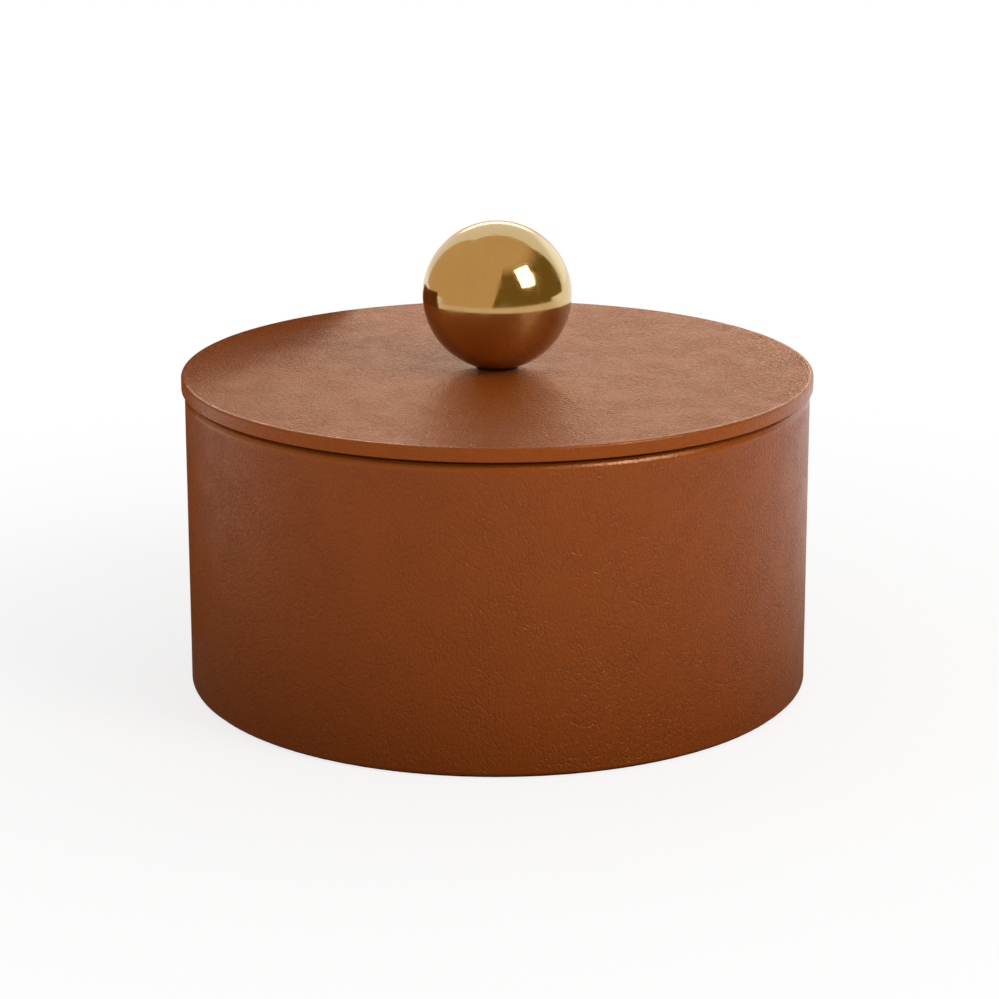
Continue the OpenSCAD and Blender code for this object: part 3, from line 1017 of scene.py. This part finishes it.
def table_for_camera(tree, shader, place):
    mottled = mottle(tree, place, TABLE_PAINT, clouds=0.2, flecks=0.004, strength=0.01)
    feed(tree, shader, {"Base Color": mottled["Colour"], "Roughness": 0.9, "Specular IOR Level": 0.1})
    lifted = mix_shaders(tree, TABLE_LIFT, shader.outputs[0], emit(tree, WHITE, TABLE_GLOW))
    fade = remap(tree, distance_to(tree, place, Vector()), FADE_START, FADE_END)
    return mix_shaders(tree, fade, lifted, emit(tree, WHITE))


def table_for_gloss(tree, place):
    way = split(tree, place)
    back = maths(tree, "MAXIMUM", way["Y"], NEAREST_BACK)
    sideways = maths(tree, "DIVIDE", maths(tree, "ABSOLUTE", way["X"]), back)
    back_glow = blend(tree, remap(tree, sideways, STRAIGHT_BACK, ASIDE), TABLE_BEHIND, WHITE)
    far_glow = blend(tree, remap(tree, way["Y"], BEHIND_FROM, BEHIND_TO), TABLE_IN_FRONT, back_glow)
    from_shade = distance_to(tree, place, SHADED_MIDDLE)
    # Painted shadow: round the foot, a little to the left and front, the glow goes dark.
    glow = blend(tree, remap(tree, from_shade, SHADED_FROM, SHADED_TO), TABLE_PAINTED_SHADOW, far_glow)
    from_middle = distance_to(tree, place, TABLE_MIDDLE)
    past_edge = times(tree, remap(tree, from_middle, TABLE_REACH, TABLE_REACH + TABLE_EDGE_FADE),
                      remap(tree, way["Y"], NO_EDGE_FROM, NO_EDGE_TO, 1.0, 0.0))
    return mix_shaders(tree, past_edge, emit(tree, glow), put(tree, "BsdfTransparent").outputs[0])


def make_table_finish():
    material, tree, shader, place = start_material("pale_table")
    from_axis = distance_to(tree, place, Vector())
    # Painted shade: the bounce light is dark near the foot.
    bounce = blend(tree, remap(tree, from_axis, BOUNCE_FROM, BOUNCE_TO), BOUNCE_NEAR, BOUNCE_FAR)
    ray = put(tree, "LightPath").outputs
    seen = maths(tree, "MAXIMUM", ray["Is Camera Ray"], ray["Is Transmission Ray"])
    direct = mix_shaders(tree, seen, emit(tree, bounce), table_for_camera(tree, shader, place))
    choice = mix_shaders(tree, ray["Is Glossy Ray"], direct, table_for_gloss(tree, place))
    feed(tree, tree.nodes["Material Output"], {"Surface": choice})
    return material


table = bmesh.new()
bmesh.ops.create_grid(table, x_segments=1, y_segments=1, size=FLOOR_SIZE / 2)
bmesh.ops.translate(table, verts=table.verts, vec=(0, 0, -FLOOR_DROP))
turn_to_object("table", table, make_table_finish())
print("table", FLOOR_SIZE, "m across")

# %% [markdown]
# ## Light
#
# The ball shows how the photograph was lit: a window of soft light at the front on the right, a bright panel
# at the back on the right, and a white backdrop that is warmer and brighter just above the table. The world
# gives the backdrop, the panel and the gentle light from all sides. A soft box stands where the window was.

# %% Light the box
OVERHEAD = 0.15
ALL_ROUND = 0.25
FROM_BEHIND = 0.2
LEAN_TO_RIGHT = 0.5
WINDOW_TURN = 53
WINDOW_UP = 37
WINDOW_DISTANCE = 1.3
WINDOW_SIZE = (0.50, 0.72)
WINDOW_POWER = 4.8
WINDOW_TINT = (1.0, 0.97, 0.92)
WINDOW_GLOW = colour(12.0, 10.5, 9.0)
PANE_SIZE = (0.48, 0.60)
BACKDROP_WHITE = colour(0.86, 0.85, 0.83)
BACKDROP_LOW = colour(0.9, 0.60, 0.41)
BACKDROP_BAND = colour(6.2, 4.45, 3.15)
PANEL_TURN = 146
PANEL_UP = 8
PANEL_GLOW = colour(0.30, 0.38, 0.48)
PANEL_EDGE = (0.92, 0.985)
BEHIND_UP_TO = (0.30, 0.40)
BEHIND_ASIDE = (0.16, 0.30)
BAND_RISE = (0.19, 0.262)


def direction(turn, up):
    """Turn is from the camera's side towards the right, up is above the table, both in degrees."""
    turn, up = math.radians(turn), math.radians(up)
    return Vector((math.sin(turn) * math.cos(up), -math.cos(turn) * math.cos(up), math.sin(up)))


world = bpy.data.worlds.new("studio")
world.use_nodes = True
bpy.context.scene.world = world
sky = world.node_tree
sky_ray = put(sky, "LightPath").outputs
sky_vector = put(sky, "TexCoord").outputs["Generated"]
sky_way = split(sky, sky_vector)
to_panel = put(sky, "VectorMath", {0: sky_vector, 1: direction(PANEL_TURN, PANEL_UP)},
               operation="DOT_PRODUCT").outputs["Value"]
panel = blend(sky, remap(sky, to_panel, *PANEL_EDGE), BLACK, PANEL_GLOW)
aside = maths(sky, "ABSOLUTE", sky_way["X"])
straight_behind = times(sky, remap(sky, sky_way["Z"], *BEHIND_UP_TO, 1.0, 0.0),
                        remap(sky, aside, *BEHIND_ASIDE, 1.0, 0.0))
low_glow = blend(sky, remap(sky, sky_way["Z"], *BAND_RISE), BACKDROP_LOW, BACKDROP_BAND)
seen_white = put(sky, "Background", {"Color": WHITE, "Strength": 1.0}).outputs[0]
backdrop_colour = blend(sky, straight_behind, BACKDROP_WHITE, low_glow)
backdrop = put(sky, "Background", {"Color": blend(sky, 1.0, backdrop_colour, panel, "ADD")}).outputs[0]
overhead = times(sky, maths(sky, "MAXIMUM", sky_way["Z"], 0.0), OVERHEAD)
back_right = plus(sky, sky_way["Y"], times(sky, sky_way["X"], LEAN_TO_RIGHT))
from_behind = times(sky, maths(sky, "MAXIMUM", back_right, 0.0), FROM_BEHIND)
soft_level = plus(sky, plus(sky, overhead, from_behind), ALL_ROUND)
soft_light = put(sky, "Background", {"Color": WHITE, "Strength": soft_level}).outputs[0]
seen = maths(sky, "MAXIMUM", sky_ray["Is Camera Ray"], sky_ray["Is Transmission Ray"])
lit_or_seen = mix_shaders(sky, seen, soft_light, seen_white)
sky_mix = mix_shaders(sky, sky_ray["Is Glossy Ray"], lit_or_seen, backdrop)
feed(sky, sky.nodes["World Output"], {"Surface": sky_mix})

window_data = bpy.data.lights.new("window", "AREA")
window_data.shape = "RECTANGLE"
window_data.size, window_data.size_y = WINDOW_SIZE
window_data.energy = WINDOW_POWER
window_data.color = WINDOW_TINT
window = bpy.data.objects.new("window", window_data)
to_window = direction(WINDOW_TURN, WINDOW_UP)
window.location = to_window * WINDOW_DISTANCE
window.rotation_euler = to_window.to_track_quat("Z", "Y").to_euler()
window.visible_camera = False
window.visible_glossy = False
bpy.context.collection.objects.link(window)
print("window", WINDOW_DISTANCE, "m away,", WINDOW_POWER, "W")

# %% [markdown]
# The room stands round the box only as reflections: its parts are seen by glossy surfaces and by nothing
# else, so they never get into a picture or throw a shadow. The beige room is a large box, open to the white
# backdrop behind. The dark doorway in it is a patch of a ball, given by the directions of its four corners,
# and the window's pane stands in front of that. A low brown board behind on the left is what darkens that
# side of the box, the back of its lid and the left rim of the ball.

# %% Stand the room round the box
def stand(name, shape, shade, fades=None):
    """Fades gives the heights, as parts of the radius, between which the shade turns to the room's beige."""
    finish, tree, _, place = start_material(name)
    if fades:
        unit = put(tree, "VectorMath", {0: place}, operation="NORMALIZE").outputs[0]
        high = split(tree, unit)["Z"]
        shade = blend(tree, remap(tree, high, *fades), shade, ROOM_BEIGE)
    feed(tree, tree.nodes["Material Output"], {"Surface": emit(tree, shade)})
    stood = turn_to_object(name, shape, finish)
    for kind_of_ray in ("camera", "diffuse", "transmission", "shadow", "volume_scatter"):
        setattr(stood, "visible_" + kind_of_ray, False)
    print(name, "stands, seen only in reflections")


ROOM_LOW = Vector((-1.65, -4.0, -0.9))
ROOM_HIGH = Vector((3.5, 2.0, 4.0))
ROOM_BEIGE = colour(0.635, 0.455, 0.265)
room = bmesh.new()
bmesh.ops.create_cube(room, size=1.0)
for room_vert in room.verts:
    room_vert.co = ROOM_LOW + (room_vert.co + Vector((0.5, 0.5, 0.5))) * (ROOM_HIGH - ROOM_LOW)
open_side = [face for face in room.faces if face.normal.y > 0.9]
bmesh.ops.delete(room, geom=open_side, context="FACES_ONLY")
stand("beige_room", room, ROOM_BEIGE)

DOORWAY_RADIUS = 1.9
DOORWAY_CORNERS = [(-10, -12), (120, -12), (120, 62), (13, 56)]
DOORWAY_DARK = colour(0.185, 0.118, 0.026)
DOORWAY_FADES = (0.62, 0.88)
doorway = bmesh.new()
bmesh.ops.create_grid(doorway, x_segments=24, y_segments=24, size=0.5)
for patch_vert in doorway.verts:
    across, high = patch_vert.co.x + 0.5, patch_vert.co.y + 0.5
    low_side = [a + (b - a) * across for a, b in zip(DOORWAY_CORNERS[0], DOORWAY_CORNERS[1])]
    high_side = [a + (b - a) * across for a, b in zip(DOORWAY_CORNERS[3], DOORWAY_CORNERS[2])]
    patch_vert.co = direction(*(a + (b - a) * high for a, b in zip(low_side, high_side))) * DOORWAY_RADIUS
stand("dark_doorway", doorway, DOORWAY_DARK, DOORWAY_FADES)

pane = bmesh.new()
bmesh.ops.create_grid(pane, x_segments=1, y_segments=1, size=0.5)
pane_turn = to_window.to_track_quat("Z", "Y").to_matrix().to_4x4()
pane_size = Matrix.Diagonal((*PANE_SIZE, 1.0, 1.0))
bmesh.ops.transform(pane, verts=pane.verts,
                    matrix=Matrix.Translation(to_window * WINDOW_DISTANCE) @ pane_turn @ pane_size)
stand("window_pane", pane, WINDOW_GLOW)

SCREEN_FAR, SCREEN_NEAR = Vector((-0.040, 0.086, 0.0)), Vector((-0.112, 0.014, 0.0))
SCREEN_LOW, SCREEN_HIGH = 0.0975, 0.1085
SCREEN_SLANT = 0.2
SCREEN_DROP = 0.011
SCREEN_DROPS_OVER = 0.2
SCREEN_BROWN = colour(0.12, 0.035, 0.008)
screen = bmesh.new()
bmesh.ops.create_grid(screen, x_segments=24, y_segments=1, size=0.5)
for screen_vert in screen.verts:
    along, high = screen_vert.co.x + 0.5, screen_vert.co.y + 0.5
    drop = SCREEN_DROP * max(0.0, 1.0 - along / SCREEN_DROPS_OVER)
    screen_top = SCREEN_LOW + (SCREEN_HIGH - SCREEN_LOW) * along - drop
    screen_vert.co = SCREEN_FAR.lerp(SCREEN_NEAR, along * (1.0 + SCREEN_SLANT * (1.0 - high)))
    screen_vert.co.z = high * screen_top
stand("brown_screen", screen, SCREEN_BROWN)
